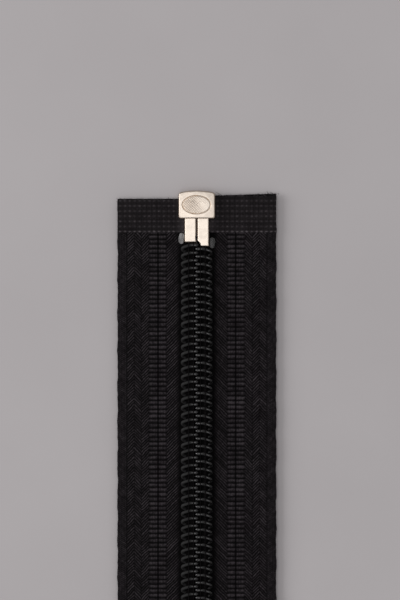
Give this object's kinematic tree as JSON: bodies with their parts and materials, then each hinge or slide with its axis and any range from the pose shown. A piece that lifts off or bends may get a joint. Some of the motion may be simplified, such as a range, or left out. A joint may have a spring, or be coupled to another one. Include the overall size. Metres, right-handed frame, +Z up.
{
  "type": "zipper",
  "caption": "Separating coil zipper, closed and lying flat: woven tapes, meshed coils, metal retainer box and end pins, and a locking slider with a pull tab.",
  "frame": {"origin": "under the middle of the closed zipper, on the surface that it lies on", "axes": "+Y along the chain from the top stops towards the retainer box, +Z up out of the face that shows the coils, +X across the chain towards the half with the insertion pin"},
  "size_m": [0.0578, 0.225, 0.0104],
  "materials": {
    "tape_weave": "matte woven polyester, black",
    "reinforcing_ribbon": "bonded ribbed ribbon, black",
    "coil_nylon": "glossy moulded filament, black",
    "sewing_thread": "spun thread, black",
    "clear_film": "translucent adhesive film",
    "nickel": "warm nickel plating, satin",
    "spring_steel": "plain spring steel"
  },
  "bodies": {
    "retainer_side": {"retainer_box": "nickel", "retainer_pin": "nickel", "left_patch_front": "reinforcing_ribbon", "left_patch_back": "reinforcing_ribbon", "left_film_bead": "clear_film"},
    "left_stringer": {"left_tape": "tape_weave", "left_coil": "coil_nylon", "left_filler_cord": "sewing_thread", "left_needle_thread_inner": "sewing_thread", "left_needle_thread_outer": "sewing_thread", "left_bobbin_threads": "sewing_thread", "left_top_stop": "nickel"},
    "insertion_side": {"insertion_pin": "nickel", "right_patch_front": "reinforcing_ribbon", "right_patch_back": "reinforcing_ribbon", "right_film_bead": "clear_film"},
    "right_stringer": {"right_tape": "tape_weave", "right_coil": "coil_nylon", "right_filler_cord": "sewing_thread", "right_needle_thread_inner": "sewing_thread", "right_needle_thread_outer": "sewing_thread", "right_bobbin_threads": "sewing_thread", "right_top_stop": "nickel"},
    "slider": {"slider_body": "nickel", "slider_cover": "nickel", "lock_spring": "spring_steel"},
    "lock": {"lock_pawl": "spring_steel"},
    "bail": {"pull_bail": "nickel"},
    "pull": {"pull_tab": "nickel"}
  },
  "joints": [
    {"name": "slider_slide", "type": "slide", "parent": "retainer_side", "child": "slider", "axis": [0, -1, 0], "range_m": [-0.1725, 0]},
    {"name": "left_half_swing", "type": "hinge", "parent": "retainer_side", "child": "left_stringer", "pos_m": [-0.002, 0.1005, 0.0019], "axis": [0, 0, -1], "range_deg": [0, 12.1], "deforming": ["left_tape", "left_coil", "left_filler_cord", "left_needle_thread_inner", "left_needle_thread_outer", "left_bobbin_threads"]},
    {"name": "insertion_slide", "type": "slide", "parent": "retainer_side", "child": "insertion_side", "axis": [0, -1, 0], "range_m": [0, 0.00968]},
    {"name": "right_half_swing", "type": "hinge", "parent": "insertion_side", "child": "right_stringer", "pos_m": [0.002, 0.1005, 0.0019], "axis": [0, 0, 1], "range_deg": [0, 12.1], "deforming": ["right_tape", "right_coil", "right_filler_cord", "right_needle_thread_inner", "right_needle_thread_outer", "right_bobbin_threads"]},
    {"name": "bail_swing", "type": "hinge", "parent": "slider", "child": "bail", "pos_m": [0, -0.078, 0.00755], "axis": [1, 0, 0], "range_deg": [0, 170]},
    {"name": "tab_swing", "type": "hinge", "parent": "bail", "child": "pull", "pos_m": [0, -0.0672, 0.00755], "axis": [-1, 0, 0], "range_deg": [-120, 0]},
    {"name": "pawl_lift", "type": "hinge", "parent": "slider", "child": "lock", "pos_m": [0, -0.0825, 0.00845], "axis": [1, 0, 0], "range_deg": [0, 6.5], "stiffness_Nm_per_rad": 0.005, "springref_deg": -2.86, "deforming": ["lock_spring"]}
  ],
  "couplings": [
    {"joint": "left_half_swing", "follows": "slider_slide", "rad_per_m": -1.2141},
    {"joint": "right_half_swing", "follows": "slider_slide", "rad_per_m": -1.2141}
  ]
}
